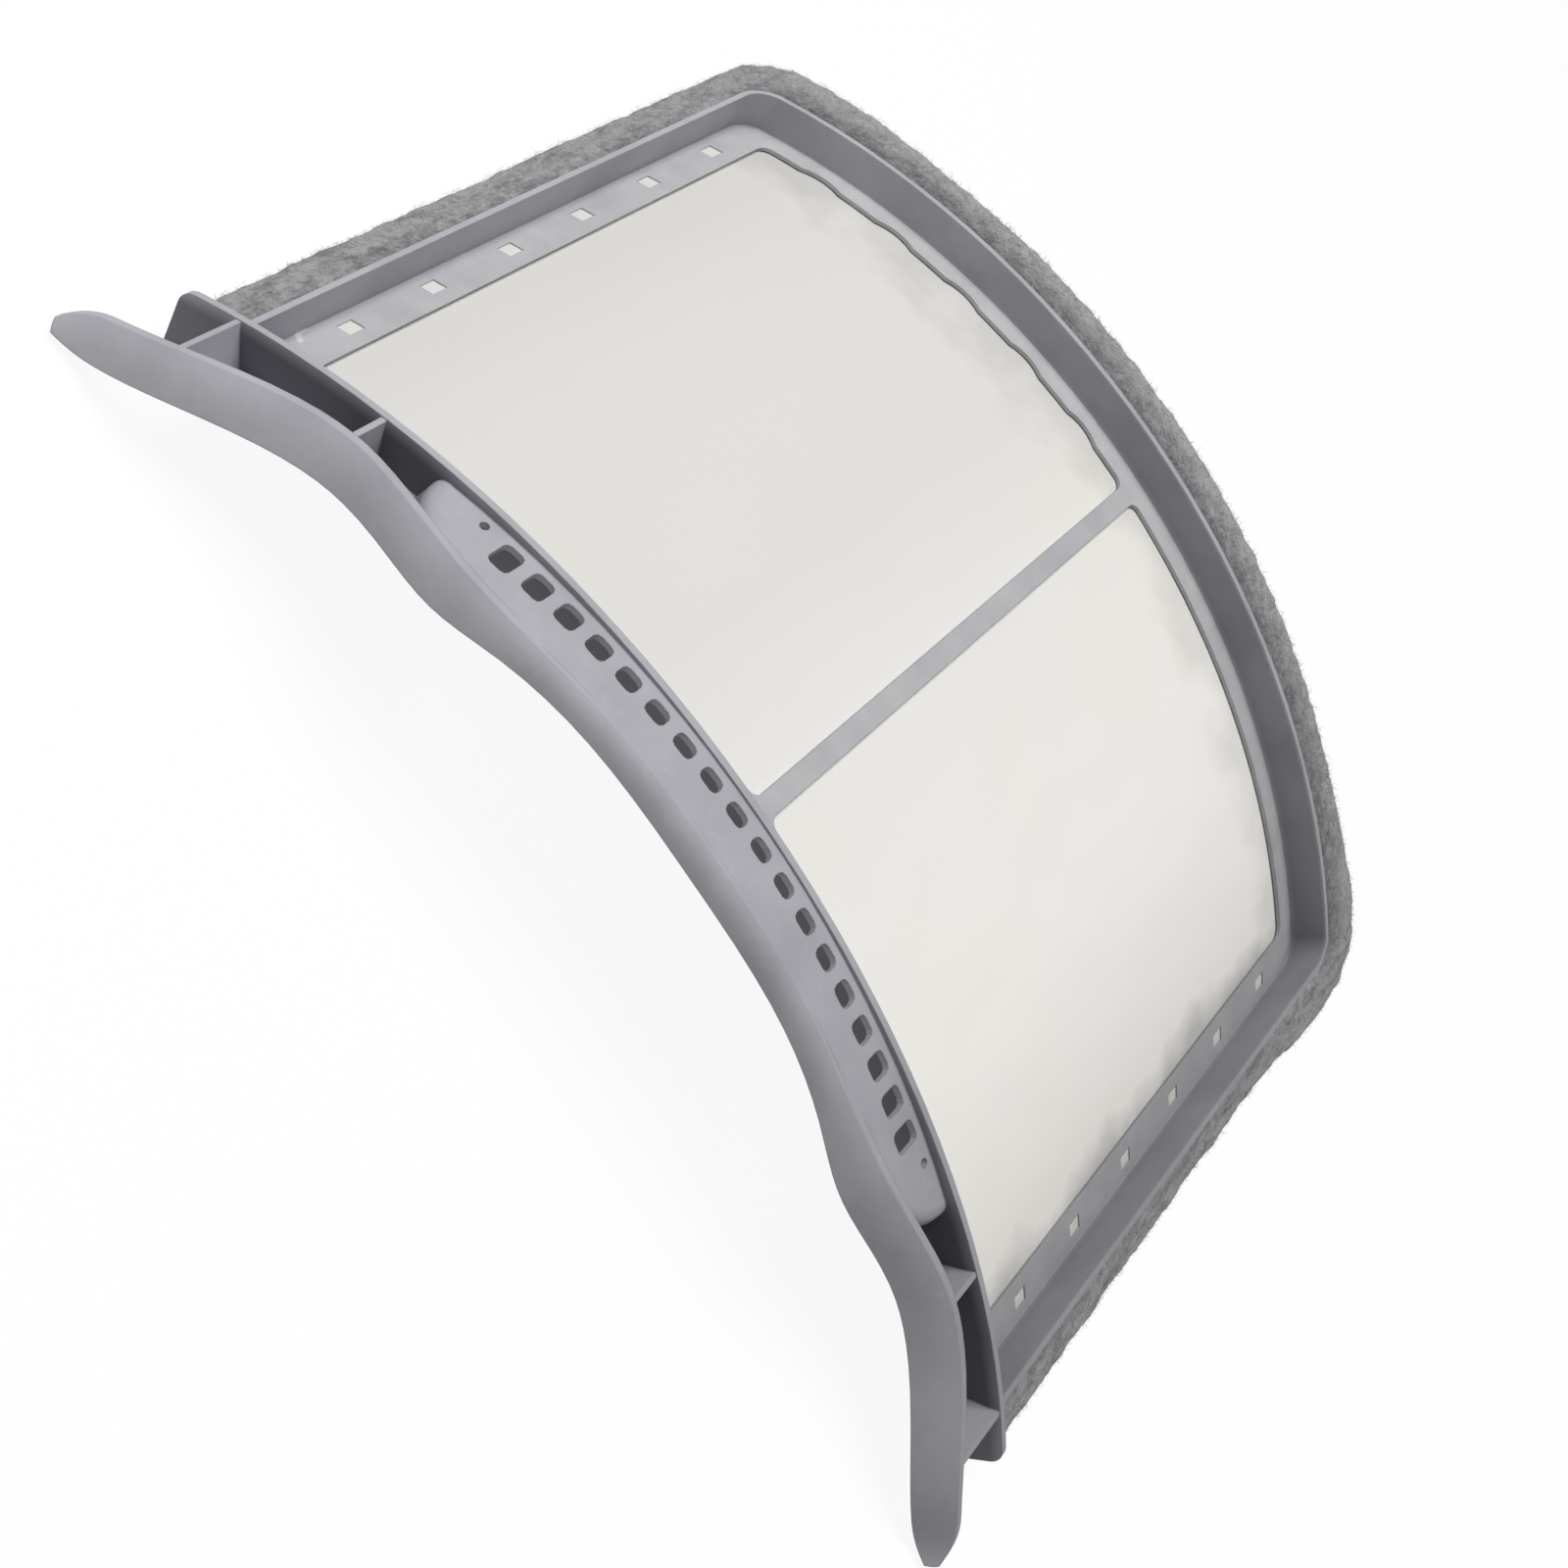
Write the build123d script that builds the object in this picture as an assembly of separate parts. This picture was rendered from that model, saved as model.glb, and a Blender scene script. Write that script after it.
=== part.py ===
"""Tumble dryer lint filter: a curved moulded frame with its handle, a mesh screen and a felt seal."""
import os
from math import asin, cos, degrees, radians, sin, sqrt, tan

from build123d import *

# Rim: its top edge lies on a cylinder whose axis runs along Y, with the open side outwards
RIM_RADIUS = 220.0
RIM_CHORD = 250.0
TRAY_DEPTH = 166.0
WALL = 1.5
WALL_HEIGHT = 9.3
SIDE_LEAN = 15.0
CORNER_RADIUS = 7.0

# Flange that holds the screen, with its row of small slots on each side
FLANGE_WIDTH = 8.6
FAR_FLANGE_WIDTH = 5.5
FLANGE_THICKNESS = 1.6
WINDOW_CORNER = 2.5
CENTRE_RIB_WIDTH = 4.6
FLANGE_SLOT_LENGTH = 4.2
FLANGE_SLOT_WIDTH = 3.0
FLANGE_SLOT_INSET = 4.7
FLANGE_SLOT_FIRST = 25.5
FLANGE_SLOT_PITCH = 24.0
FLANGE_SLOT_COUNT = 6
SCALLOP_COUNT = 5
SCALLOP_PITCH = 20.0
SCALLOP_RADIUS = 11.0
SCALLOP_BITE = 1.2
SCALLOP_FIRST = 18.0

# Screen: fine mesh seated in a rebate under the flange
MESH_THICKNESS = 0.6
MESH_LAP = 6.6
FAR_MESH_LAP = 4.2

# Front wall and its end tabs
FRONT_HEIGHT = 12.5
TAB_LENGTH = 15.0
TAB_ROUND = 5.0

# Handle lip, by distance along the rim's arc from the middle
FINGER_ARC = 34.0
BLEND_ARC = 52.0
SHOULDER_ARC = 66.0
NECK_ARC = 97.0
TIP_BASE_ARC = 147.0
TIP_ARC = 160.0
LIP_THICKNESS = 1.6
LIP_LEAN = 30.0
MIDDLE_REACH = 16.3
SHOULDER_REACH = 19.1
NECK_REACH = 14.4
TIP_BASE_REACH = 21.1
TIP_REACH = 21.6
FINGER_EDGE = 5.8
FLANK_EDGE = 8.5
MIDDLE_CROWN = 0.6
FLANK_CROWN = 0.3
RIDGE_DROP = 0.06
SHOULDER_DROP = 0.6
TIP_BASE_DROP = 0.7
TIP_DROP = 2.6
TIP_HEIGHT = 2.6

# Finger recess: a slotted roof between the lip and the front wall, with ends that sweep back
FLOOR_RISE = 0.3
ROOF_DROP = 0.6
ROOF_END_DROP = 2.0
ROOF_END_ARC = 75.0
RECESS_END_ARC = 86.0
RECESS_SWEEP = 16.5
RECESS_ROUND = 3.5
GRILLE_COUNT = 18
GRILLE_PITCH = 7.55
GRILLE_SLOT_LENGTH = 4.8
GRILLE_SLOT_WIDTH = 3.4
GRILLE_END_WIDTH = 6.2
GRILLE_SLOT_ROUND = 1.2
GRILLE_SETBACK = 1.8
PIN_HOLE_DIAMETER = 2.0
PIN_HOLE_SIDES = 12
PIN_HOLE_ARC = 71.6
PIN_HOLE_SETBACK = 2.6

# Cross ribs that divide the handle's pockets
RIB_THICKNESS = 1.3
RIB_DROP = 0.3
INNER_RIB_ARC = 99.0
OUTER_RIB_ARC = 134.5

# Felt seal round the outside of the side and far walls
FELT_WIDTH = 10.0
FAR_FELT_WIDTH = 13.0
FELT_HEIGHT = 8.0
FELT_DROP = 0.8
FELT_CORNER = 12.0

# Worked out from the sizes above
HALF_CHORD = RIM_CHORD / 2
EDGE_Z = sqrt(RIM_RADIUS**2 - HALF_CHORD**2)
FLANGE_TOP = RIM_RADIUS - WALL_HEIGHT
FLANGE_BOTTOM = FLANGE_TOP - FLANGE_THICKNESS
FRONT_BOTTOM = RIM_RADIUS - FRONT_HEIGHT
LEAN = tan(radians(SIDE_LEAN))
LIP_SLOPE = tan(radians(LIP_LEAN))
WALL_ACROSS = WALL / cos(radians(SIDE_LEAN))
CLEAR = 2 * FRONT_HEIGHT


def arc_angle(arc):
    """Angle from the middle, in degrees, of a place given by its distance along the rim."""
    return degrees(arc / RIM_RADIUS)


def on_arc(arc, drop):
    """Point in the front view, at a distance along the rim and a depth below it."""
    angle = arc / RIM_RADIUS
    radius = RIM_RADIUS - drop
    return Vector(radius * sin(angle), radius * cos(angle))


def side_x(half_width, radius):
    """X where a leaning side, half_width out at the rim's edge, crosses a radius."""
    start = half_width - LEAN * EDGE_Z
    z = (-LEAN * start + sqrt((1 + LEAN**2) * radius**2 - start**2)) / (1 + LEAN**2)
    return start + LEAN * z


def ring(outer, inner, half_width):
    """Front view of a curved band between two radii, with leaning sides."""
    low, high = inner * cos(asin(half_width / outer)) - CLEAR, outer + CLEAR
    low_x = half_width + LEAN * (low - EDGE_Z)
    high_x = half_width + LEAN * (high - EDGE_Z)
    wedge = Polygon((-low_x, low), (low_x, low), (high_x, high), (-high_x, high), align=None)
    return (Circle(outer) - Circle(inner)) & wedge


def along_y(front_view, start, end):
    """Solid with the given front view, from one depth to another."""
    return Pos(0, end, 0) * extrude(Plane.XZ * front_view, amount=end - start)


def through_z(plan):
    """Solid with the given plan, tall enough to cross the whole part."""
    return extrude(plan, amount=RIM_RADIUS + CLEAR)


def round_far_corners(solid, radius):
    """Round the two upright edges at the far end of a curved band."""
    far = solid.faces().sort_by(Axis.Y)[-1]
    upright = far.edges().sort_by(Axis.X)
    return fillet([upright[0], upright[-1]], radius)


def window_half_width():
    """Half the width of the screen windows, at the flange's inner edge."""
    return side_x(HALF_CHORD - WALL_ACROSS, FLANGE_TOP) - FLANGE_WIDTH


def window_plan():
    """Plan of the two screen windows, with the scallops along one half of the far edge."""
    near = WALL + FLANGE_WIDTH
    far = TRAY_DEPTH - WALL - FAR_FLANGE_WIDTH
    width = window_half_width() - CENTRE_RIB_WIDTH / 2
    window = RectangleRounded(width, far - near, WINDOW_CORNER)
    middle = Pos((CENTRE_RIB_WIDTH + width) / 2, (near + far) / 2)
    windows = middle * window + mirror(middle * window, Plane.YZ)
    for i in range(SCALLOP_COUNT):
        x = -SCALLOP_FIRST - i * SCALLOP_PITCH
        windows += Pos(x, far + SCALLOP_BITE - SCALLOP_RADIUS) * Circle(SCALLOP_RADIUS)
    return windows


def mesh_screen():
    """Sheet of fine mesh under the flange, lapped by it on all four sides."""
    half = window_half_width() + MESH_LAP
    near = WALL + FLANGE_WIDTH - MESH_LAP
    far = TRAY_DEPTH - WALL - FAR_FLANGE_WIDTH + FAR_MESH_LAP
    sheet = along_y(Circle(FLANGE_BOTTOM + MESH_THICKNESS) - Circle(FLANGE_BOTTOM), near, far)
    return sheet & through_z(Pos(0, (near + far) / 2) * Rectangle(2 * half, far - near))


def flange_slots():
    """Rows of small slots through the flange on both sides."""
    slot = Rectangle(FLANGE_SLOT_WIDTH, FLANGE_SLOT_LENGTH)
    slot_x = window_half_width() + FLANGE_SLOT_INSET
    slots = []
    for i in range(FLANGE_SLOT_COUNT):
        y = FLANGE_SLOT_FIRST + i * FLANGE_SLOT_PITCH
        slots.append(through_z(Pos(-slot_x, y) * slot))
        slots.append(through_z(Pos(slot_x, y) * slot))
    return slots


def tray():
    """Rim walls and the flange inside them, with the windows, slots and rebate cut out."""
    body = along_y(ring(RIM_RADIUS, FLANGE_BOTTOM, HALF_CHORD), 0, TRAY_DEPTH)
    body = round_far_corners(body, CORNER_RADIUS)
    inside = ring(RIM_RADIUS + CLEAR, FLANGE_TOP, HALF_CHORD - WALL_ACROSS)
    hollow = along_y(inside, WALL, TRAY_DEPTH - WALL)
    body -= round_far_corners(hollow, CORNER_RADIUS - WALL)
    body -= through_z(window_plan())
    body -= mesh_screen()
    return body - flange_slots()


def ridge_drop(arc):
    """Depth of the lip's top below the rim where it runs into the recess roof."""
    return ROOF_DROP + (ROOF_END_DROP - ROOF_DROP) * (arc / ROOF_END_ARC) ** 2 + RIDGE_DROP


def lip_stations():
    """Sections of one half of the lip: arc, reach, drop of the top, depth of the edge, rounding."""
    blend_reach = (MIDDLE_REACH + SHOULDER_REACH) / 2
    blend_edge = (FINGER_EDGE + FLANK_EDGE) / 2
    blend_crown = (MIDDLE_CROWN + FLANK_CROWN) / 2
    waist_arc = (SHOULDER_ARC + NECK_ARC) / 2
    waist_reach = (SHOULDER_REACH + NECK_REACH) / 2
    flank_arc = (NECK_ARC + TIP_BASE_ARC) / 2
    flank_reach = (NECK_REACH + TIP_BASE_REACH) / 2
    return [
        (0, MIDDLE_REACH, ridge_drop(0), FINGER_EDGE, MIDDLE_CROWN),
        (FINGER_ARC, MIDDLE_REACH, ridge_drop(FINGER_ARC), FINGER_EDGE, MIDDLE_CROWN),
        (BLEND_ARC, blend_reach, ridge_drop(BLEND_ARC), blend_edge, blend_crown),
        (SHOULDER_ARC, SHOULDER_REACH, SHOULDER_DROP, FLANK_EDGE, FLANK_CROWN),
        (waist_arc, waist_reach, SHOULDER_DROP / 2, FLANK_EDGE, FLANK_CROWN),
        (NECK_ARC, NECK_REACH, 0, FLANK_EDGE, FLANK_CROWN),
        (flank_arc, flank_reach, 0, FLANK_EDGE, FLANK_CROWN),
        (TIP_BASE_ARC, TIP_BASE_REACH, TIP_BASE_DROP, FLANK_EDGE, FLANK_CROWN),
        (TIP_ARC, TIP_REACH, TIP_DROP, TIP_DROP + TIP_HEIGHT, FLANK_CROWN),
    ]


def both_halves(stations):
    """All the stations from one tip to the other."""
    other = [(-arc, *rest) for arc, *rest in reversed(stations[1:])]
    return other + stations


def in_section(arc, back, radius):
    """Point in the plane through the rim's axis at a distance along the rim."""
    angle = arc / RIM_RADIUS
    return Vector(radius * sin(angle), back, radius * cos(angle))


def lip_section(arc, reach, drop, edge, crown):
    """Section of the lip: a front that leans back and rounds over, a narrow top and a plain back."""
    top, low = RIM_RADIUS - drop, RIM_RADIUS - edge
    lean = LIP_SLOPE * (top - low)
    low_front = in_section(arc, -reach, low)
    low_back = in_section(arc, LIP_THICKNESS - reach, low)
    high_front = in_section(arc, lean - reach, top)
    high_back = in_section(arc, lean + LIP_THICKNESS - reach, top)
    chord = (low_front + high_front) / 2
    corner = in_section(arc, -reach, top)
    return Wire([
        Bezier(low_front, chord + (corner - chord) * crown, high_front).edge(),
        Line(high_front, high_back).edge(),
        Line(high_back, low_back).edge(),
        Line(low_back, low_front).edge(),
    ])


def lip():
    """Handle lip, lofted from tip to tip through its sections."""
    return Solid.make_loft([lip_section(*station) for station in both_halves(lip_stations())])


def behind_lip():
    """Room from inside the front wall to inside the leaning lip, above the underside of the pockets."""
    sections = []
    for arc, reach, _, edge, _ in both_halves(lip_stations()):
        front = LIP_THICKNESS / 2 - reach
        high = edge + WALL
        sections.append(Wire.make_polygon([
            in_section(arc, front + LIP_SLOPE * FLOOR_RISE, RIM_RADIUS - edge + FLOOR_RISE),
            in_section(arc, front + LIP_SLOPE * high, RIM_RADIUS - edge + high),
            in_section(arc, WALL / 2, RIM_RADIUS - edge + high),
            in_section(arc, WALL / 2, FRONT_BOTTOM + FLOOR_RISE),
        ]))
    return Solid.make_loft(sections)


def pocket_floor():
    """Band that slopes from the lip's edge to the front wall's foot, between the two outer ribs."""
    sections = []
    for arc, reach, _, edge, _ in both_halves(lip_stations()):
        high = FLOOR_RISE + WALL
        sections.append(Wire.make_polygon([
            in_section(arc, -reach, RIM_RADIUS - edge),
            in_section(arc, -reach, RIM_RADIUS - edge + high),
            in_section(arc, WALL, FRONT_BOTTOM + high),
            in_section(arc, WALL, FRONT_BOTTOM),
        ]))
    outer_corners = [on_arc(arc, -2 * RIM_RADIUS) for arc in (OUTER_RIB_ARC, -OUTER_RIB_ARC)]
    between_ribs = along_y(Polygon((0, 0), *outer_corners, align=None), -2 * TIP_REACH, 2 * WALL)
    return Solid.make_loft(sections) & between_ribs


def recess_dome(inset):
    """Front view of the space under the recess roof, a circle through its crest and both ends."""
    end = on_arc(ROOF_END_ARC, ROOF_END_DROP)
    rise = RIM_RADIUS - ROOF_DROP - end.Y
    radius = (end.X**2 + rise**2) / (2 * rise)
    return Pos(0, RIM_RADIUS - ROOF_DROP - radius) * Circle(radius - inset)


def recess_half():
    """Half the length of the straight part of the recess."""
    return on_arc(RECESS_END_ARC, FRONT_HEIGHT / 2).X - RECESS_SWEEP


def recess_block(inset):
    """Solid that fills the recess under its roof, with ends that sweep back to the front wall."""
    swept = Pos(0, WALL / 2) * SlotCenterToCenter(2 * recess_half(), 2 * (RECESS_SWEEP - inset))
    front = Pos(0, WALL / 2 + inset - 2 * RECESS_SWEEP) * Rectangle(2 * RIM_RADIUS, 4 * RECESS_SWEEP)
    return through_z(swept & front) & along_y(recess_dome(inset), -2 * RECESS_SWEEP, 2 * WALL)


def grille_slot(length, width):
    """Plan of one slot, whose rounded corners are two short flats each."""
    points = []
    for quarter, (x, y) in enumerate([(1, 1), (-1, 1), (-1, -1), (1, -1)]):
        for turn in (0, 45, 90):
            angle = radians(90 * quarter + turn)
            corner = Vector(x * (length / 2 - GRILLE_SLOT_ROUND), y * (width / 2 - GRILLE_SLOT_ROUND))
            points.append(corner + Vector(cos(angle), sin(angle)) * GRILLE_SLOT_ROUND)
    return Polygon(*points, align=None)


def grille_cuts():
    """Slots and pin holes through the recess roof, square to the arc and wider towards the ends."""
    last = (GRILLE_COUNT - 1) / 2
    places = []
    for i in range(GRILLE_COUNT):
        width = GRILLE_SLOT_WIDTH + (GRILLE_END_WIDTH - GRILLE_SLOT_WIDTH) * (i / last - 1) ** 2
        slot = Pos(0, -GRILLE_SETBACK - width / 2) * grille_slot(GRILLE_SLOT_LENGTH, width)
        places.append((slot, (i - last) * GRILLE_PITCH))
    pin_hole = Pos(0, -PIN_HOLE_SETBACK) * RegularPolygon(PIN_HOLE_DIAMETER / 2, PIN_HOLE_SIDES)
    places += [(pin_hole, -PIN_HOLE_ARC), (pin_hole, PIN_HOLE_ARC)]
    cuts = []
    for opening, arc in places:
        cut = extrude(Pos(0, 0, FRONT_BOTTOM) * opening, amount=CLEAR)
        cuts.append(Rot(0, arc_angle(arc), 0) * cut)
    return cuts


def channel():
    """Floor of the handle's pockets, and the shell of the finger recess between them."""
    way_in = recess_dome(2 * WALL) & Rectangle(2 * recess_half(), 3 * RIM_RADIUS)
    outer = recess_block(0)
    roof_edges = outer.faces().sort_by(Axis.Z)[-1].edges().sort_by(Axis.Y)[:-1]
    body = fillet(roof_edges, RECESS_ROUND) & behind_lip()
    body += pocket_floor() & behind_lip()
    body -= recess_block(WALL)
    body -= along_y(way_in, -2 * RECESS_SWEEP, -RECESS_SWEEP / 2)
    return body - grille_cuts()


def cross_ribs():
    """Four ribs that stand on the pocket floors between the front wall and the lip."""
    high = RIM_RADIUS - RIB_DROP
    view = Pos(0, (FRONT_BOTTOM + high) / 2) * Rectangle(RIB_THICKNESS, high - FRONT_BOTTOM)
    rib = along_y(view, -TIP_REACH, WALL / 2)
    ribs = []
    for arc in (-OUTER_RIB_ARC, -INNER_RIB_ARC, INNER_RIB_ARC, OUTER_RIB_ARC):
        ribs.append(Rot(0, arc_angle(arc), 0) * rib & behind_lip())
    return ribs


def front_wall():
    """Wall between the tray and the handle, with a rounded tab past each side wall."""
    half = HALF_CHORD + TAB_LENGTH
    view = ring(RIM_RADIUS, FRONT_BOTTOM, half)
    top_corners = view.vertices().sort_by(Axis.Y)[-2:]
    return along_y(fillet(top_corners, TAB_ROUND), 0, WALL)


def frame():
    """The moulding: tray, front wall and handle in one piece."""
    handle = [front_wall(), lip(), channel(), *cross_ribs()]
    return tray() + handle


def felt_seal():
    """Felt strip against the outside of the two side walls and the far wall."""
    top = RIM_RADIUS - FELT_DROP
    band = ring(top, top - FELT_HEIGHT, HALF_CHORD + FELT_WIDTH)
    felt = round_far_corners(along_y(band, WALL, TRAY_DEPTH + FAR_FELT_WIDTH), FELT_CORNER)
    core = along_y(ring(RIM_RADIUS + CLEAR, FLANGE_BOTTOM - CLEAR, HALF_CHORD), 0, TRAY_DEPTH)
    return felt - round_far_corners(core, CORNER_RADIUS)


def main():
    """Write each piece, standing on Z = 0 with its middle on the Z axis."""
    pieces = {"frame": frame(), "mesh_screen": mesh_screen(), "felt_seal": felt_seal()}
    box = pieces["frame"].bounding_box()
    for piece in pieces.values():
        box = box.add(piece.bounding_box())
    place = Pos(-box.center().X, -box.center().Y, -box.min.Z)
    os.makedirs("parts", exist_ok=True)
    for name, piece in pieces.items():
        export_step(place * piece, f"parts/{name}.step")


main()
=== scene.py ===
import math
from collections import namedtuple

import bpy
import numpy as np
from mathutils import Matrix, Vector, noise


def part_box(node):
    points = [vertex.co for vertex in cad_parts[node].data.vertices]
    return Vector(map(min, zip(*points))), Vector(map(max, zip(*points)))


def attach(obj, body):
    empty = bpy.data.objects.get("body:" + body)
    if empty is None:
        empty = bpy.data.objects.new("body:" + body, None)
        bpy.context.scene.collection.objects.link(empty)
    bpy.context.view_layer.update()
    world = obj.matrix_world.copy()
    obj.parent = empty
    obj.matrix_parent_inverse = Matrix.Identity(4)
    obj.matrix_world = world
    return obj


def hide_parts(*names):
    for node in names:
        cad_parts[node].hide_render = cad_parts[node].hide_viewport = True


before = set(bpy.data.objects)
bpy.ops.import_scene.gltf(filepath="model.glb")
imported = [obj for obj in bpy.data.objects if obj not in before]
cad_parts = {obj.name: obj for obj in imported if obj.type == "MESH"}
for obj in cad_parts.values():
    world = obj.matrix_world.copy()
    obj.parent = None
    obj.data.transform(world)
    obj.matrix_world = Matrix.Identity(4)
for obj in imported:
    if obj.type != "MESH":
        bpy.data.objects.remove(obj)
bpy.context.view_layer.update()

MM = 0.001
SEED = 7

# The arch, as the frame gives it
RIM_RADIUS = 220 * MM
TRAY_DEPTH = 166 * MM
WALL_HEIGHT = 9.3 * MM
FRAME_LOW, FRAME_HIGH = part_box("frame")
AXIS_Z = FRAME_HIGH.z - RIM_RADIUS
FRONT_Y = FRAME_HIGH.y - TRAY_DEPTH
FLANGE_RADIUS = RIM_RADIUS - WALL_HEIGHT

# The part of a soft noise's range in which nearly all of it lies
SOFT_NOISE = (0.3, 0.7)

# Plastic: softened edges, a fine skin, mottling in waves per metre, and shade in the hollows
EDGE_RADIUS = 0.35 * MM
SKIN_DEPTH = 0.05 * MM
SKIN_SCALE = 5200
MOTTLE_SCALE = 60
CLOUD_SCALE = 420
CLOUD_SHARE = 0.35
SHADE_REACH = 12 * MM
SHADE_RANGE = (0.05, 0.4)

# Painted shade and lint on the plastic: the most that each covers, and the light kept on the flange's
# edge
FRONT_WALL_SHADE = 0.72
WALL_SHADE = 0.24
SIDE_SHADE = 0.3
FLANGE_LINT, FAR_FLANGE_LINT = 0.3, 0.42
FLANGE_LINT_SCALE = 160
FLANGE_EDGE_LIGHT = 0.95

# Bands over which painted shade and lint fade: radii from the axis, then depths behind the front wall
FRONT_FADE = (RIM_RADIUS - 3 * MM, RIM_RADIUS - 0.5 * MM)
WALL_FOOT = (FLANGE_RADIUS + 0.3 * MM, FLANGE_RADIUS + 1.5 * MM)
WALL_TOP = (RIM_RADIUS - 0.8 * MM, RIM_RADIUS - 0.3 * MM)
FLANGE_EDGE = (FLANGE_RADIUS - 0.2 * MM, FLANGE_RADIUS)
IN_TRAY = (1 * MM, 2 * MM)
FAR_FLANGE = (TRAY_DEPTH - 16 * MM, TRAY_DEPTH - 8 * MM)
OFF_FACE = (0.2 * MM, 0.5 * MM)

# Pale marks on the flange by one front corner, in millimetres from the axis at the front wall
PALE_MARK_WIDTH = 0.35 * MM
PALE_MARK_SHARE = 0.8
PALE_MARKS = [
    ((-121.8, 19.9, 171.9), (-120.9, 15.7, 172.6)),
    ((-120.9, 15.7, 172.6), (-119.3, 14.4, 173.7)),
    ((-123.0, 12.5, 171.0), (-122.2, 16.2, 171.7)),
]

# Mesh screen: a sheet stretched over the arch, a little uneven, that rises into the side slots
MESH_LOW, MESH_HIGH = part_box("mesh_screen")
MESH_HALF_THICKNESS = 0.3 * MM
MESH_RADIUS = MESH_HIGH.z - AXIS_Z - MESH_HALF_THICKNESS
MESH_TURN = math.asin(MESH_HIGH.x / MESH_RADIUS)
MESH_HALF = MESH_TURN * MESH_RADIUS
MESH_ACROSS, MESH_ALONG = 140, 90
MESH_RISE, RISE_START, RISE_END = 1.0 * MM, 6.0 * MM, 4.6 * MM
MESH_SAG = 0.18 * MM
SAG_ACROSS, SAG_ALONG = 9, 6

# The mesh's weave, clouds, lint and painted shade along its far edge and one side edge, and painted
# shade on the other half
WEAVE_PITCH = 0.55 * MM
WEAVE_DEPTH = 0.05 * MM
WEAVE_SHARE = 0.25
MESH_CLOUD_SCALE = 14
FAR_LAP, FAR_LINT_SHADE_REACH, FAR_LINT_AND_SHADE, FAR_LINT_SHADE_SCALE = 4.2 * MM, 14 * MM, 0.6, 70
SIDE_LAP, SIDE_LINT_SHADE_REACH, SIDE_LINT_AND_SHADE, SIDE_LINT_SHADE_SCALE = 6.6 * MM, 10 * MM, 0.9, 45
MESH_SIDE_SHADE = 0.22

# Felt: a soft lumpy strip, wider round the far corners
FELT_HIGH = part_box("felt_seal")[1]
FAR_FELT_WIDTH = 13 * MM
SIDE_FELT_WIDTH = 10 * MM
FELT_GRAIN = 0.9 * MM
FELT_SMOOTHING = 6
FELT_LUMP, LUMP_LENGTH = 0.4 * MM, 5 * MM
CORNER_X = FELT_HIGH.x - SIDE_FELT_WIDTH
CORNER_BULGE, CORNER_REACH = 4 * MM, 45 * MM
CORNER_PIVOT = 25 * MM

# The felt's colours: streaks on the sides, painted shade in patches along the far wall, and pale flecks
STREAK_SCALE = (420.0, 120.0, 420.0)
STREAK_RANGE, STREAK_SHARE = (0.48, 0.65), 0.65
PATCH_SCALE, PATCH_SHARE = 300, 0.3
FLECK_SCALE, FLECK_DEPTH, FLECK_SHARE = 1100, 0.4 * MM, 0.4
CORNER_BLEND, CORNER_SCATTER = (-6 * MM, 4 * MM), 5 * MM

# Loose fibres on the felt's upper and outer faces
FIBRE_COUNT = 26000
FIBRE_LENGTH = 1.9 * MM
FIBRE_WIDTH = 0.09 * MM
FIBRE_STEPS = 3
FIBRE_SCATTER = 0.3 * FELT_GRAIN
FIBRE_SPREAD = (0.5, 1.2)
FIBRE_CURL = 0.5
FIBRE_LIFT = (0.05, 0.45)
FIBRE_ARCH = 1.3
FIBRE_TAPER = 0.7
OUTER_SIDE_X = FRAME_HIGH.x - 12 * MM
OUTER_FAR_Y = FRAME_HIGH.y + 8 * MM
UPPER_FACE, OUTER_FACE = 0.35, -0.5

# Camera, measured from the top of the rim at the front wall
CAMERA_OFFSET = Vector((-49.4, -260.6, 284.0)) * MM
CAMERA_RIGHT = Vector((0.559249, 0.552830, 0.617754))
CAMERA_DOWN = Vector((0.820471, -0.475721, -0.317043))
CAMERA_LENS = 50.89
CAMERA_NEAREST = 0.01
SENSOR = 36.0

# Light: one soft lamp above and to one side, dim surroundings and light thrown up by the floor
KEY_PLACE, KEY_SIZE, KEY_POWER = (-0.35, -0.05, 1.45), 0.8, 22.0
LAMP_AIM = Vector((0, 0, 0.03))
WORLD_STRENGTH = 0.16
FLOOR_SIZE = 6.0
FLOOR_GLOW = 0.92

# Colours, in linear light
BLACK = (0.0, 0.0, 0.0)
WHITE = (1.0, 1.0, 1.0, 1.0)
PLASTIC = (0.445, 0.437, 0.474)
PLASTIC_PALE = (0.52, 0.514, 0.549)
PLASTIC_DARK = (0.392, 0.385, 0.42)
PLASTIC_DEEP = (0.10, 0.096, 0.115)
PALE_MARK_COLOUR = (0.72, 0.72, 0.72)
LINT_PALE = (0.62, 0.62, 0.60)
MESH_WHITE = (0.88, 0.87, 0.84)
MESH_WARM = (0.88, 0.86, 0.815)
MESH_SHADE = (0.62, 0.615, 0.585)
MESH_THREAD = (0.64, 0.63, 0.60)
MESH_LINT_AND_SHADE = (0.47, 0.465, 0.445)
FELT_GREY = (0.36, 0.36, 0.365)
FELT_DARK = (0.15, 0.15, 0.155)
FELT_PALE = (0.50, 0.50, 0.50)
FLOOR_WHITE = (0.92, 0.92, 0.92)
FLOOR_BOUNCE = (0.78, 0.78, 0.78)

# A place on the arch: across it, behind the front wall's outer face, and from its axis
Spot = namedtuple("Spot", "across inwards radius")


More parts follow.
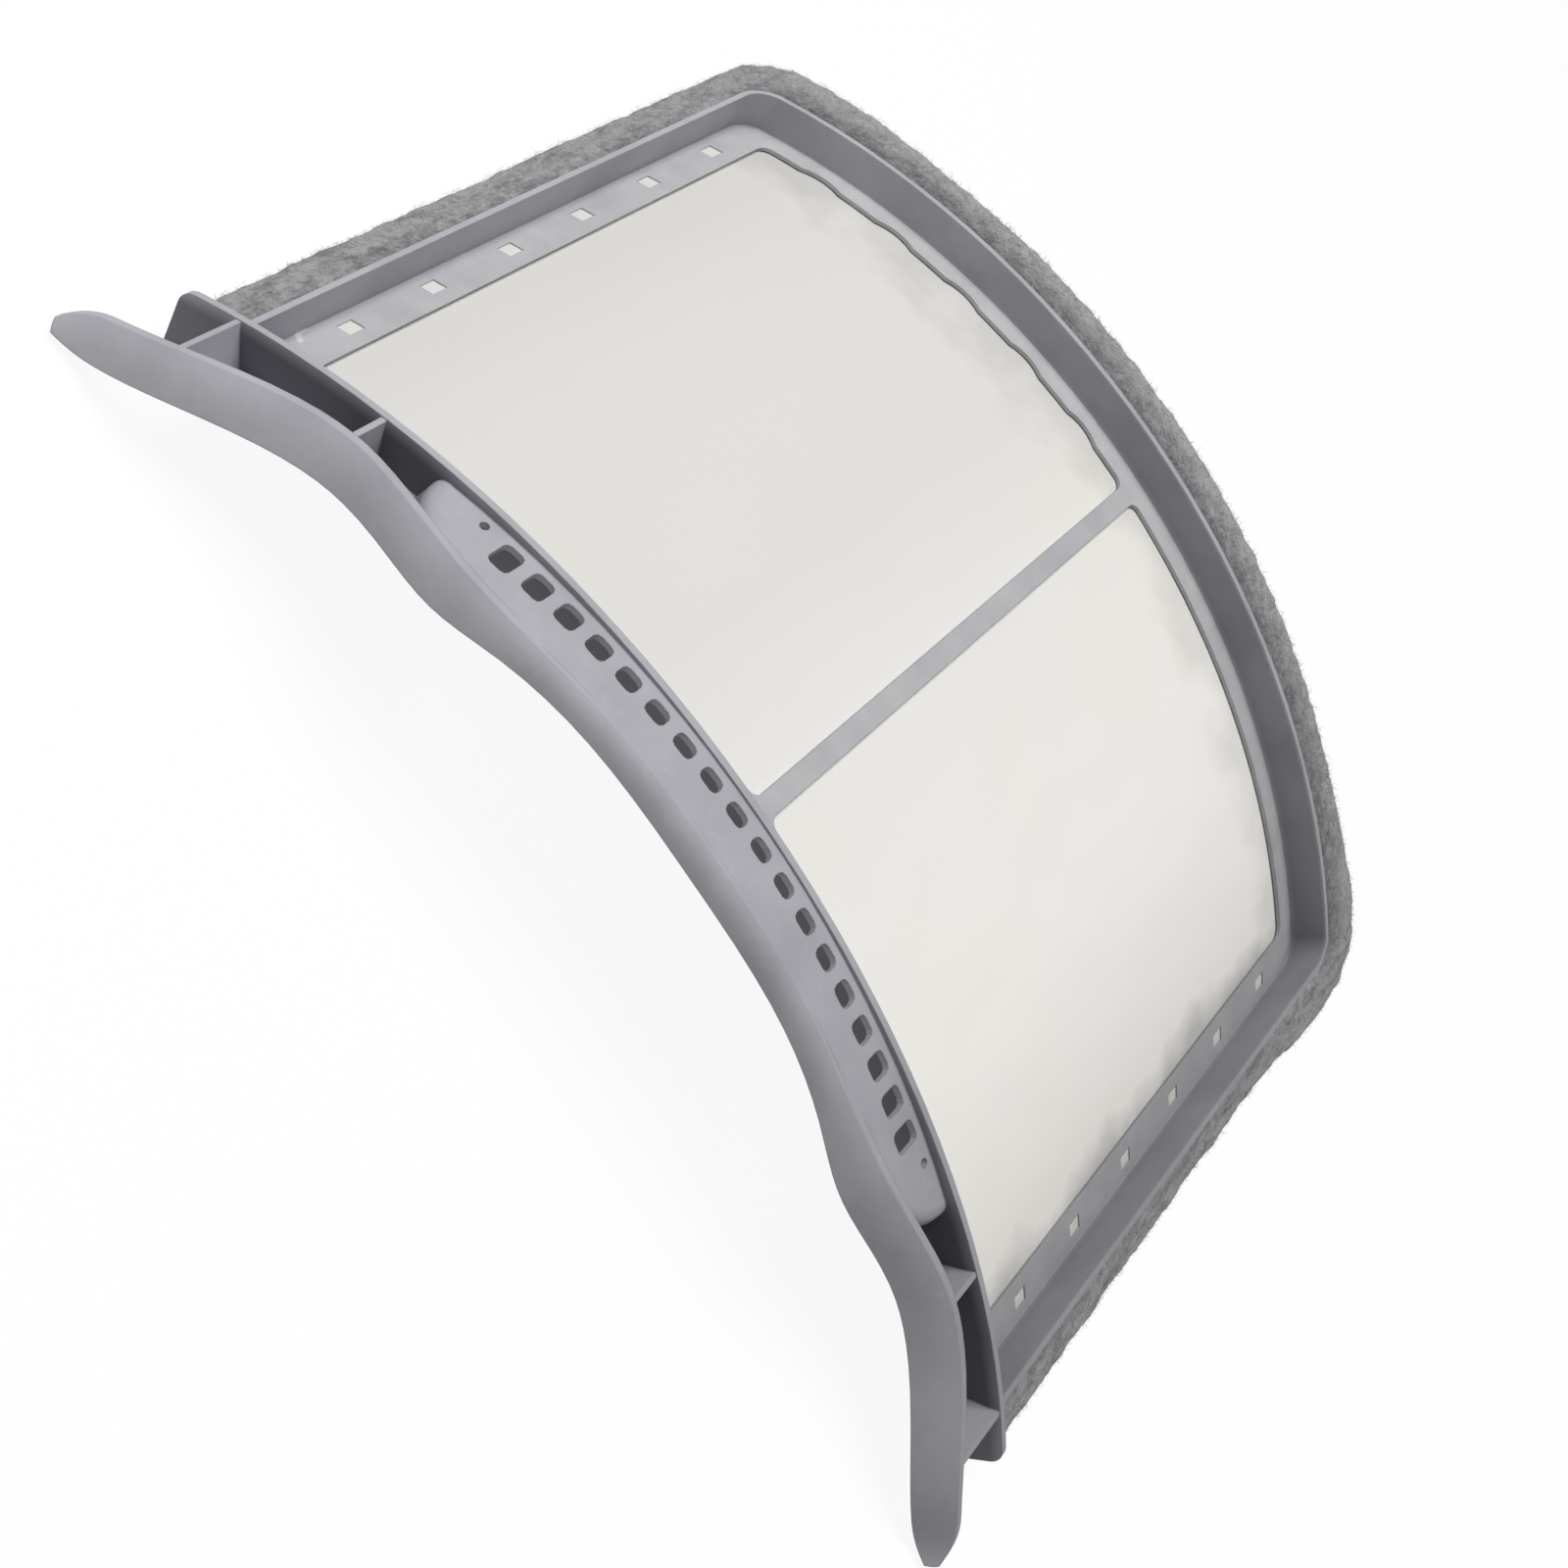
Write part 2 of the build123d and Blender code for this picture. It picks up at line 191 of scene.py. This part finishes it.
class Nodes:
    """A short way to write the nodes of a material or of the surroundings."""

    def __init__(self, owner):
        self.owner = owner
        owner.use_nodes = True
        self.tree = owner.node_tree
        self.tree.nodes.clear()

    def add(self, kind, settings=None, **inputs):
        """A new node with its settings, and its inputs as values or as links from other nodes."""
        node = self.tree.nodes.new(kind)
        for key, value in (settings or {}).items():
            setattr(node, key, value)
        for key, value in inputs.items():
            self.set(node, key.replace("_", " "), value)
        return node

    def set(self, node, key, value):
        """Give an input, by its name or number, a value or a link."""
        socket = node.inputs[int(key)] if key.isdigit() else node.inputs[key]
        if isinstance(value, bpy.types.NodeSocket):
            self.tree.links.new(value, socket)
        else:
            socket.default_value = value

    def math(self, operation, a, b=0.0, clamp=False):
        """One sum on two values."""
        node = self.tree.nodes.new("ShaderNodeMath")
        node.operation = operation
        node.use_clamp = clamp
        self.set(node, "0", a)
        self.set(node, "1", b)
        return node.outputs[0]

    def vector(self, operation, a, b=(0.0, 0.0, 0.0)):
        """One sum on two vectors."""
        node = self.tree.nodes.new("ShaderNodeVectorMath")
        node.operation = operation
        self.set(node, "0", a)
        self.set(node, "1", b)
        gives_number = operation in ("DOT_PRODUCT", "DISTANCE", "LENGTH")
        return node.outputs["Value" if gives_number else "Vector"]

    def axes(self, vector):
        """The three parts of a vector."""
        return self.add("ShaderNodeSeparateXYZ", Vector=vector).outputs

    def noise(self, vector, scale, detail=3.0, roughness=0.5):
        """Soft noise from 0 to 1, with scale in waves per metre."""
        node = self.add("ShaderNodeTexNoise", Scale=scale, Detail=detail, Roughness=roughness)
        self.set(node, "Vector", vector)
        return node.outputs["Fac"]

    def range(self, value, low, high, to_low=0.0, to_high=1.0):
        """A value moved from one range to another, clamped."""
        node = self.tree.nodes.new("ShaderNodeMapRange")
        self.set(node, "Value", value)
        self.set(node, "From Min", low)
        self.set(node, "From Max", high)
        self.set(node, "To Min", to_low)
        self.set(node, "To Max", to_high)
        return node.outputs["Result"]

    def mix(self, factor, a, b):
        """A colour between two colours."""
        node = self.tree.nodes.new("ShaderNodeMix")
        node.data_type = "RGBA"
        self.set(node, "0", factor)
        for number, colour in ((6, a), (7, b)):
            self.set(node, str(number), colour if hasattr(colour, "node") else (*colour, 1.0))
        return node.outputs[2]

    def place(self):
        """Position on the piece, which is the same as in the frame."""
        return self.add("ShaderNodeTexCoord").outputs["Object"]

    def seen(self):
        """1 for rays that show the background to the eye, and 0 for rays that only carry light."""
        ray = self.add("ShaderNodeLightPath").outputs
        seen = self.math("MAXIMUM", ray["Is Camera Ray"], ray["Is Glossy Ray"])
        return self.math("MAXIMUM", seen, ray["Is Transmission Ray"])

    def finish(self, shader):
        """Make a shader the surface that is shown."""
        kind = "World" if isinstance(self.owner, bpy.types.World) else "Material"
        output = self.tree.nodes.new("ShaderNodeOutput" + kind)
        self.tree.links.new(shader, output.inputs["Surface"])
        return self.owner


def plastic_material():
    """Grey moulded plastic with a fine satin skin, softened edges, faint mottling, lint and painted
    shade.
    """
    n = Nodes(bpy.data.materials.new("frame_plastic"))
    place = n.place()
    spot = arch_spot(n, place)
    cloud = n.noise(place, CLOUD_SCALE, 4.0, 0.6)
    colour = n.mix(n.range(n.noise(place, MOTTLE_SCALE, 2.0), 0.35, 0.65), PLASTIC_DARK, PLASTIC)
    colour = n.mix(n.range(cloud, 0.55, 0.8, 0.0, CLOUD_SHARE), colour, PLASTIC_PALE)
    colour = scuffed(n, place, colour)
    colour = n.mix(flange_lint(n, place, spot), colour, LINT_PALE)
    open_sky = n.add("ShaderNodeAmbientOcclusion", {"samples": 8}, Distance=SHADE_REACH)
    open_sky = n.range(open_sky.outputs["AO"], *SHADE_RANGE)
    colour = n.mix(n.math("MAXIMUM", open_sky, flange_edge(n, spot)), PLASTIC_DEEP, colour)
    # painted shade on the front wall's outer face, behind the lip
    colour = n.mix(front_grime(n, spot), colour, PLASTIC_DEEP)
    # painted shade on the inner faces of the far wall and one side wall
    colour = n.mix(wall_grime(n, spot), colour, BLACK)
    # painted shade: the plastic gets darker towards one tip of the handle
    colour = n.mix(n.range(spot.across, FRAME_LOW.x, FRAME_HIGH.x, 0.0, SIDE_SHADE), colour, BLACK)
    skin = n.noise(place, SKIN_SCALE, 2.0)
    edge = n.add("ShaderNodeBevel", {"samples": 6}, Radius=EDGE_RADIUS).outputs[0]
    bump = n.add("ShaderNodeBump", Strength=0.12, Distance=SKIN_DEPTH, Height=skin, Normal=edge)
    shader = n.add("ShaderNodeBsdfPrincipled", Base_Color=colour, Normal=bump.outputs[0])
    n.set(shader, "Roughness", n.range(cloud, *SOFT_NOISE, 0.5, 0.6))
    n.set(shader, "Specular IOR Level", 0.16)
    return n.finish(shader.outputs[0])


def arch_spot(n, place):
    """Where a place lies on the arch."""
    offset = n.vector("SUBTRACT", place, (0.0, FRONT_Y, AXIS_Z))
    axes = n.axes(offset)
    radius = n.vector("LENGTH", n.vector("MULTIPLY", offset, (1.0, 0.0, 1.0)))
    return Spot(axes[0], axes[1], radius)


def scuffed(n, place, colour):
    """A colour with the pale marks drawn over it."""
    for start, end in PALE_MARKS:
        distance = stroke_distance(n, place, start, end)
        share = n.range(distance, PALE_MARK_WIDTH, 2 * PALE_MARK_WIDTH, PALE_MARK_SHARE, 0.0)
        colour = n.mix(share, colour, PALE_MARK_COLOUR)
    return colour


def stroke_distance(n, place, start, end):
    """Distance from a short straight mark, whose ends are given as the pale marks' ends are."""
    origin = Vector((0, FRONT_Y, AXIS_Z))
    start, end = Vector(start) * MM + origin, Vector(end) * MM + origin
    along = end - start
    offset = n.vector("SUBTRACT", place, start)
    share = n.vector("DOT_PRODUCT", offset, along)
    share = n.math("DIVIDE", share, along.length_squared, clamp=True)
    shares = n.add("ShaderNodeCombineXYZ", X=share, Y=share, Z=share).outputs[0]
    return n.vector("DISTANCE", offset, n.vector("MULTIPLY", shares, along))


def flange_lint(n, place, spot):
    """Share of pale lint on the flange and its inner edge, thickest along the far wall."""
    share = n.range(spot.inwards, *FAR_FLANGE, FLANGE_LINT, FAR_FLANGE_LINT)
    share = n.math("MULTIPLY", share, n.range(spot.inwards, *IN_TRAY))
    patch = n.range(n.noise(place, FLANGE_LINT_SCALE, 3.0), *SOFT_NOISE, 0.6, 1.3)
    above = n.math("SUBTRACT", spot.radius, FLANGE_RADIUS)
    return n.math("MULTIPLY", n.math("MULTIPLY", share, patch), n.range(above, *OFF_FACE, 1.0, 0.0))


def flange_edge(n, spot):
    """Share of light kept on the flange's thin inner edge, which lies on the pale mesh."""
    on_edge = n.range(spot.radius, *FLANGE_EDGE, FLANGE_EDGE_LIGHT, 0.0)
    return n.math("MULTIPLY", n.range(spot.inwards, *IN_TRAY), on_edge)


def front_grime(n, spot):
    """Share of painted shade on the front wall's outer face, which lies behind the lip."""
    below_rim = n.range(spot.radius, *FRONT_FADE, FRONT_WALL_SHADE, 0.0)
    off_wall = n.math("ABSOLUTE", spot.inwards)
    return n.math("MULTIPLY", below_rim, n.range(off_wall, *OFF_FACE, 1.0, 0.0))


def wall_grime(n, spot):
    """Share of painted shade on the inner faces of the far wall and of one side wall."""
    above_flange = n.range(spot.radius, *WALL_FOOT)
    below_rim = n.range(spot.radius, *WALL_TOP, 1.0, 0.0)
    on_wall = n.math("MULTIPLY", above_flange, below_rim)
    share = n.range(spot.across, FRAME_LOW.x / 2, 0.0, 0.0, WALL_SHADE)
    return n.math("MULTIPLY", on_wall, n.math("MULTIPLY", n.range(spot.inwards, *IN_TRAY), share))


def mesh_material():
    """Fine off-white woven mesh: faint clouds, threads that cross, lint and painted shade along two
    edges, painted shade on one half.
    """
    n = Nodes(bpy.data.materials.new("screen_mesh"))
    place = n.place()
    flat = n.axes(n.add("ShaderNodeUVMap").outputs[0])
    weave = weave_height(n, flat)
    colour = n.mix(n.range(n.noise(place, MESH_CLOUD_SCALE, 2.0), 0.4, 0.7), MESH_WHITE, MESH_WARM)
    # lint and painted shade along the far edge, by the far wall
    from_far = n.math("SUBTRACT", MESH_HIGH.y - FAR_LAP, flat[1])
    far_lint_and_shade = edge_lint(n, place, from_far, FAR_LINT_SHADE_SCALE, FAR_LINT_SHADE_REACH, FAR_LINT_AND_SHADE)
    colour = n.mix(far_lint_and_shade, colour, MESH_SHADE)
    # lint and painted shade along one side edge, by the side wall
    from_side = n.math("SUBTRACT", MESH_HALF - SIDE_LAP, flat[0])
    side_lint_and_shade = edge_lint(n, place, from_side, SIDE_LINT_SHADE_SCALE, SIDE_LINT_SHADE_REACH, SIDE_LINT_AND_SHADE)
    colour = n.mix(side_lint_and_shade, colour, MESH_LINT_AND_SHADE)
    colour = n.mix(n.range(weave, -1.0, 1.0, 0.0, WEAVE_SHARE), colour, MESH_THREAD)
    # painted shade: the mesh gets darker over one half
    side_shade = n.range(flat[0], -MESH_HALF / 4, MESH_HALF / 2, MESH_SIDE_SHADE, 0.0)
    colour = n.mix(side_shade, colour, BLACK)
    bump = n.add("ShaderNodeBump", Strength=0.12, Distance=WEAVE_DEPTH, Height=weave).outputs[0]
    shader = n.add("ShaderNodeBsdfPrincipled", Base_Color=colour, Roughness=0.75, Normal=bump)
    n.set(shader, "Specular IOR Level", 0.1)
    return n.finish(shader.outputs[0])


def weave_height(n, flat):
    """Height of the threads, from -1 to 1, over the flat sheet."""
    turns = 2 * math.pi / WEAVE_PITCH
    warp = n.math("SINE", n.math("MULTIPLY", flat[0], turns))
    weft = n.math("SINE", n.math("MULTIPLY", flat[1], turns))
    return n.math("MULTIPLY", warp, weft)


def edge_lint(n, place, from_edge, scale, reach, most):
    """Share of lint and painted shade that fades unevenly away from an edge of the mesh."""
    uneven = n.range(n.noise(place, scale, 3.0), *SOFT_NOISE, -reach / 2, reach / 2)
    return n.range(n.math("ADD", from_edge, uneven), 0.0, reach, most, 0.0)


def felt_material():
    """Fuzzy grey felt with streaks on the sides, painted shade in patches along the far wall and pale
    flecks.
    """
    n = Nodes(bpy.data.materials.new("seal_felt"))
    place = n.place()
    axes = n.axes(place)
    streak = n.noise(n.vector("MULTIPLY", place, STREAK_SCALE), 1.0, 4.0, 0.65)
    patch = n.noise(place, PATCH_SCALE, 4.0, 0.65)
    fleck = n.noise(place, FLECK_SCALE, 4.0, 0.7)
    side = n.mix(n.range(streak, *STREAK_RANGE, 0.0, STREAK_SHARE), FELT_GREY, FELT_DARK)
    # painted shade: the felt gets darker next to the far wall
    depth = n.math("DIVIDE", n.math("SUBTRACT", axes[1], FRAME_HIGH.y), FAR_FELT_WIDTH)
    depth = n.math("ADD", depth, n.range(patch, *SOFT_NOISE, -PATCH_SHARE, PATCH_SHARE))
    end = n.mix(n.range(depth, 0.1, 0.9), FELT_DARK, FELT_GREY)
    inside = n.math("SUBTRACT", CORNER_X, n.math("ABSOLUTE", axes[0]))
    inside = n.math("ADD", inside, n.range(patch, *SOFT_NOISE, -CORNER_SCATTER, CORNER_SCATTER))
    colour = n.mix(n.range(inside, *CORNER_BLEND), side, end)
    colour = n.mix(n.range(fleck, 0.5, 0.75, 0.0, FLECK_SHARE), colour, FELT_PALE)
    bump = n.add("ShaderNodeBump", Strength=0.9, Distance=FLECK_DEPTH, Height=fleck).outputs[0]
    shader = n.add("ShaderNodeBsdfPrincipled", Base_Color=colour, Roughness=0.95, Normal=bump)
    n.set(shader, "Specular IOR Level", 0.1)
    return n.finish(shader.outputs[0])


def floor_material():
    """Floor that looks white, still takes a soft shadow and throws light back up."""
    n = Nodes(bpy.data.materials.new("floor"))
    seen = n.seen()
    diffuse = n.add("ShaderNodeBsdfDiffuse", Color=n.mix(seen, FLOOR_BOUNCE, FLOOR_WHITE))
    glow = n.add("ShaderNodeEmission", Color=WHITE, Strength=1.0)
    mixed = n.add("ShaderNodeMixShader")
    n.set(mixed, "0", n.math("MULTIPLY", seen, FLOOR_GLOW))
    n.set(mixed, "1", diffuse.outputs[0])
    n.set(mixed, "2", glow.outputs[0])
    return n.finish(mixed.outputs[0])


def dress(node, material):
    """Give a node of the frame a material."""
    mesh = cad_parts[node].data
    mesh.materials.clear()
    mesh.materials.append(material)


def add_piece(name, points, faces, material, replaces=None):
    """A new piece of the part that rides on its body."""
    mesh = bpy.data.meshes.new(name)
    mesh.from_pydata(points, [], faces)
    mesh.materials.append(material)
    mesh.shade_smooth()
    piece = bpy.data.objects.new(name, mesh)
    bpy.context.scene.collection.objects.link(piece)
    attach(piece, "root")
    if replaces:
        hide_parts(replaces)
    return piece


def mesh_sheet(material):
    """The screen as one curved sheet, with gentle unevenness that fades towards its edges."""
    half_width, half_y = MESH_HALF, (MESH_HIGH.y - MESH_LOW.y) / 2
    middle_y = (MESH_LOW.y + MESH_HIGH.y) / 2
    side = 1 - np.array([RISE_END, 0.0]) / half_width
    across = np.linspace(-1, 1, MESH_ACROSS + 1) * (1 - RISE_START / half_width)
    across = np.concatenate([-side[::-1], across, side])
    points, flat = [], []
    for v in np.linspace(-1, 1, MESH_ALONG + 1):
        y = middle_y + v * half_y
        for u in across:
            sag = MESH_SAG * noise.noise((SAG_ACROSS * u, SAG_ALONG * v, SEED)) * (1 - u**4) * (1 - v**4)
            rise = MESH_RISE if abs(u) >= side[0] else 0.0
            radius, angle = MESH_RADIUS + sag + rise, u * MESH_TURN
            points.append((radius * math.sin(angle), y, AXIS_Z + radius * math.cos(angle)))
            flat.append((MESH_RADIUS * angle, y))
    row = len(across)
    corners = [j * row + i for j in range(MESH_ALONG) for i in range(row - 1)]
    faces = [(k, k + 1, k + row + 1, k + row) for k in corners]
    sheet = add_piece("mesh_sheet", points, faces, material, "mesh_screen")
    layer = sheet.data.uv_layers.new(name="flat")
    for loop in sheet.data.loops:
        layer.data[loop.index].uv = flat[loop.vertex_index]


def felt_body(material):
    """The felt strip with its edges softened and its faces lumpy."""
    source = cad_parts["felt_seal"]
    soft = bpy.data.objects.new("felt_source", source.data.copy())
    soft.matrix_world = source.matrix_world
    bpy.context.scene.collection.objects.link(soft)
    voxels = soft.modifiers.new("voxels", "REMESH")
    voxels.mode = "VOXEL"
    voxels.voxel_size = FELT_GRAIN
    smooth = soft.modifiers.new("smooth", "SMOOTH")
    smooth.iterations = FELT_SMOOTHING
    graph = bpy.context.evaluated_depsgraph_get()
    mesh = soft.evaluated_get(graph).to_mesh()
    points = []
    for vertex in mesh.vertices:
        place = soft.matrix_world @ vertex.co
        lump = noise.fractal(place / LUMP_LENGTH, 1.0, 2.0, 3)
        points.append(place + vertex.normal * lump * FELT_LUMP + corner_bulge(place))
    faces = [tuple(polygon.vertices) for polygon in mesh.polygons]
    bpy.data.objects.remove(soft)
    body = add_piece("felt_body", points, faces, material, "felt_seal")
    return body


def corner_bulge(place):
    """How far the felt stands out round the far corners, sideways at one of them only."""
    over_x = abs(place.x) - CORNER_X
    over_y = place.y - FRAME_HIGH.y
    near = max(0.0, 1 - (over_x**2 + over_y**2) / CORNER_REACH**2) ** 2
    share = min(1.0, max(0.0, over_x, over_y) / SIDE_FELT_WIDTH)
    out = Vector((over_x + CORNER_PIVOT, over_y + CORNER_PIVOT, 0)).normalized()
    out.x = max(0.0, math.copysign(out.x, place.x))
    return out * CORNER_BULGE * near * share


def felt_fibres(body, material):
    """Short loose fibres lying over the felt's upper and outer faces."""
    rng = np.random.default_rng(SEED)
    mesh = body.data
    mesh.calc_loop_triangles()
    triangles = [t for t in mesh.loop_triangles if fibres_show(t.center, t.normal)]
    areas = np.array([t.area for t in triangles])
    chosen = rng.choice(len(triangles), FIBRE_COUNT, p=areas / areas.sum())
    points, faces = [], []
    for number in chosen:
        first = len(points)
        points += fibre_points(rng, triangles[number])
        for step in range(FIBRE_STEPS):
            k = first + 2 * step
            faces.append((k, k + 1, k + 3, k + 2))
    add_piece("felt_fibres", points, faces, material)


def fibre_points(rng, triangle):
    """The two edges of one flat fibre, which curls, lifts off the felt and gets thinner to its tip."""
    start = triangle.center + Vector(rng.normal(0, FIBRE_SCATTER, 3))
    normal = triangle.normal
    lie = normal.cross(Vector(rng.normal(0, 1, 3))).normalized()
    aside = normal.cross(lie)
    length = FIBRE_LENGTH * rng.uniform(*FIBRE_SPREAD)
    curl, lift = rng.normal(0, FIBRE_CURL), rng.uniform(*FIBRE_LIFT)
    points = []
    for step in range(FIBRE_STEPS + 1):
        along = step / FIBRE_STEPS
        rise = normal * lift * length * along * (FIBRE_ARCH - along)
        place = start + lie * length * along + aside * curl * length * along**2 + rise
        half = aside * (FIBRE_WIDTH / 2) * (1 - FIBRE_TAPER * along)
        points += [place - half, place + half]
    return points


def fibres_show(place, normal):
    """Whether a face of the felt is away from the frame's walls and off the underside."""
    radial = Vector((place.x, 0, place.z - AXIS_Z)).normalized()
    outward = abs(place.x) > OUTER_SIDE_X or place.y > OUTER_FAR_Y
    return normal.dot(radial) > UPPER_FACE or outward and normal.dot(radial) > OUTER_FACE


def add_floor():
    """Plain pale floor under the part."""
    bpy.ops.mesh.primitive_plane_add(size=FLOOR_SIZE, location=(0, 0, 0))
    floor = bpy.context.object
    floor.name = "floor"
    floor.data.materials.append(floor_material())


def add_lamp(name, place, size, power):
    """Large soft lamp aimed at the part."""
    data = bpy.data.lights.new(name, "AREA")
    data.size = size
    data.energy = power
    lamp = bpy.data.objects.new(name, data)
    lamp.location = place
    lamp.rotation_euler = (LAMP_AIM - lamp.location).to_track_quat("-Z", "Y").to_euler()
    bpy.context.scene.collection.objects.link(lamp)


def add_world():
    """Even dim surroundings that look white."""
    n = Nodes(bpy.data.worlds.new("studio"))
    strength = n.range(n.seen(), 0.0, 1.0, WORLD_STRENGTH, 1.0)
    back = n.add("ShaderNodeBackground", Color=WHITE, Strength=strength)
    bpy.context.scene.world = n.finish(back.outputs[0])


def add_camera():
    """Camera at the photograph's viewing angle."""
    data = bpy.data.cameras.new("camera")
    data.lens = CAMERA_LENS
    data.sensor_width = SENSOR
    data.clip_start = CAMERA_NEAREST
    camera = bpy.data.objects.new("camera", data)
    right, up = CAMERA_RIGHT, -CAMERA_DOWN
    back = right.cross(up)
    turn = Matrix((right, up, back)).transposed().to_4x4()
    rim_top = Vector((0, FRONT_Y, FRAME_HIGH.z))
    camera.matrix_world = Matrix.Translation(rim_top + CAMERA_OFFSET) @ turn
    bpy.context.scene.collection.objects.link(camera)
    bpy.context.scene.camera = camera


dress("frame", plastic_material())
mesh_sheet(mesh_material())
felt = felt_material()
felt_fibres(felt_body(felt), felt)
add_floor()
add_world()
add_lamp("key", KEY_PLACE, KEY_SIZE, KEY_POWER)
add_camera()
bpy.context.scene.view_settings.view_transform = "Standard"
